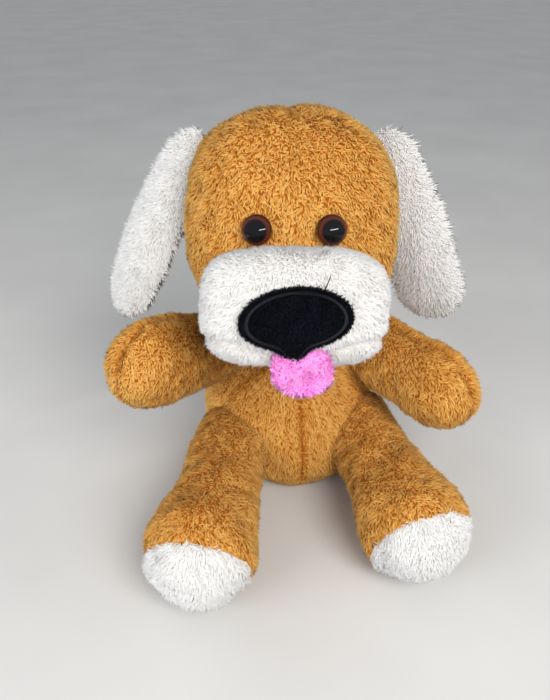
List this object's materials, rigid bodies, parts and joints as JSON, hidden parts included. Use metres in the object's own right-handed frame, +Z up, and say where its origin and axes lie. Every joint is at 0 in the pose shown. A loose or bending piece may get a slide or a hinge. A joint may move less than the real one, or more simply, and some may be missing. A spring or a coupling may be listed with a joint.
{
  "type": "plush dog toy",
  "caption": "Sitting plush dog with a large round head, boxy white muzzle, hanging ears, a tongue and stuffed limbs that turn where they are sewn to the body.",
  "frame": {"origin": "middle of the flat seat, on the surface the dog sits on", "axes": "+Z up, -Y the way the dog faces, +X the dog's left"},
  "size_m": [0.2626, 0.2769, 0.2881],
  "materials": {
    "tan_plush": "short-pile plush, clumped",
    "white_plush": "plush, longer on the ears and toes than on the muzzle",
    "pink_plush": "short curly pile",
    "nose_felt": "short-pile black cloth",
    "nose_thread": "satin stitch",
    "tan_thread": "waxed upholstery thread",
    "fibre": "loose polyester fibre",
    "pouch_cloth": "plain woven, filled with plastic pellets",
    "label_tape": "satin tape",
    "amber_plastic": "clear moulded dome over a dark iris",
    "black_plastic": "polished",
    "washer_plastic": "moulded"
  },
  "bodies": {
    "torso": {"seat_panel": "tan_plush", "belly_left_panel": "tan_plush", "belly_right_panel": "tan_plush", "back_left_panel": "tan_plush", "back_right_panel": "tan_plush", "torso_stuffing": "fibre", "pellet_pouch": "pouch_cloth", "care_label": "label_tape"},
    "neck": {"neck_stuffing": "fibre", "neck_seam_thread": "tan_thread"},
    "head": {"face_panel": "tan_plush", "head_back_left_panel": "tan_plush", "head_back_right_panel": "tan_plush", "head_stuffing": "fibre", "muzzle_top_panel": "white_plush", "chin_panel": "white_plush", "muzzle_stuffing": "fibre", "nose_patch": "nose_felt", "nose_thread_border": "nose_thread", "eye_left_dome": "amber_plastic", "eye_left_pupil": "black_plastic", "eye_left_shank": "black_plastic", "eye_left_washer": "washer_plastic", "eye_right_dome": "amber_plastic", "eye_right_pupil": "black_plastic", "eye_right_shank": "black_plastic", "eye_right_washer": "washer_plastic"},
    "tongue": {"tongue_front": "pink_plush", "tongue_back": "pink_plush"},
    "ear_left": {"ear_left_front_panel": "white_plush", "ear_left_back_panel": "white_plush", "ear_left_filling": "fibre"},
    "ear_right": {"ear_right_front_panel": "white_plush", "ear_right_back_panel": "white_plush", "ear_right_filling": "fibre"},
    "arm_left": {"arm_left_inner_panel": "tan_plush", "arm_left_outer_panel": "tan_plush", "arm_left_stuffing": "fibre"},
    "arm_right": {"arm_right_inner_panel": "tan_plush", "arm_right_outer_panel": "tan_plush", "arm_right_stuffing": "fibre"},
    "leg_left": {"leg_left_upper_panel": "tan_plush", "leg_left_lower_panel": "tan_plush", "leg_left_toe_cap": "white_plush", "leg_left_stuffing": "fibre"},
    "leg_right": {"leg_right_upper_panel": "tan_plush", "leg_right_lower_panel": "tan_plush", "leg_right_toe_cap": "white_plush", "leg_right_stuffing": "fibre"},
    "tail": {"tail_upper_panel": "tan_plush", "tail_lower_panel": "tan_plush", "tail_stuffing": "fibre"}
  },
  "joints": [
    {"name": "neck_turn", "type": "hinge", "parent": "torso", "child": "neck", "pos_m": [0, 0.008, 0.128], "axis": [0, 0, 1], "range_deg": [-6, 7]},
    {"name": "head_nod", "type": "hinge", "parent": "neck", "child": "head", "pos_m": [0, 0.008, 0.128], "axis": [0.9877, -0.1564, 0], "range_deg": [-8, 8]},
    {"name": "tongue_lift", "type": "hinge", "parent": "head", "child": "tongue", "pos_m": [-0.01684, -0.12638, 0.17937], "axis": [-0.9877, 0.1564, 0], "range_deg": [-4, 25]},
    {"name": "ear_left_flap", "type": "hinge", "parent": "head", "child": "ear_left", "pos_m": [0.06711, 0.02165, 0.26523], "axis": [0.8272, -0.3956, 0.3991], "range_deg": [0, 20]},
    {"name": "ear_right_flap", "type": "hinge", "parent": "head", "child": "ear_right", "pos_m": [-0.06127, 0.04169, 0.26464], "axis": [-0.6234, 0.763, 0.1711], "range_deg": [0, 20]},
    {"name": "shoulder_left", "type": "hinge", "parent": "torso", "child": "arm_left", "pos_m": [0.055, 0.002, 0.108], "axis": [-1, 0, 0], "range_deg": [-5, 5]},
    {"name": "shoulder_right", "type": "hinge", "parent": "torso", "child": "arm_right", "pos_m": [-0.055, 0.002, 0.108], "axis": [-1, 0, 0], "range_deg": [-20, 4]},
    {"name": "hip_left", "type": "hinge", "parent": "torso", "child": "leg_left", "pos_m": [0.051, -0.028, 0.041], "axis": [0, 0, 1], "range_deg": [-10, 9]},
    {"name": "hip_right", "type": "hinge", "parent": "torso", "child": "leg_right", "pos_m": [-0.051, -0.031, 0.041], "axis": [0, 0, -1], "range_deg": [-10, 12]},
    {"name": "tail_wag", "type": "hinge", "parent": "torso", "child": "tail", "pos_m": [0, 0.06768, 0.03], "axis": [0, 0, 1], "range_deg": [-25, 25]}
  ]
}
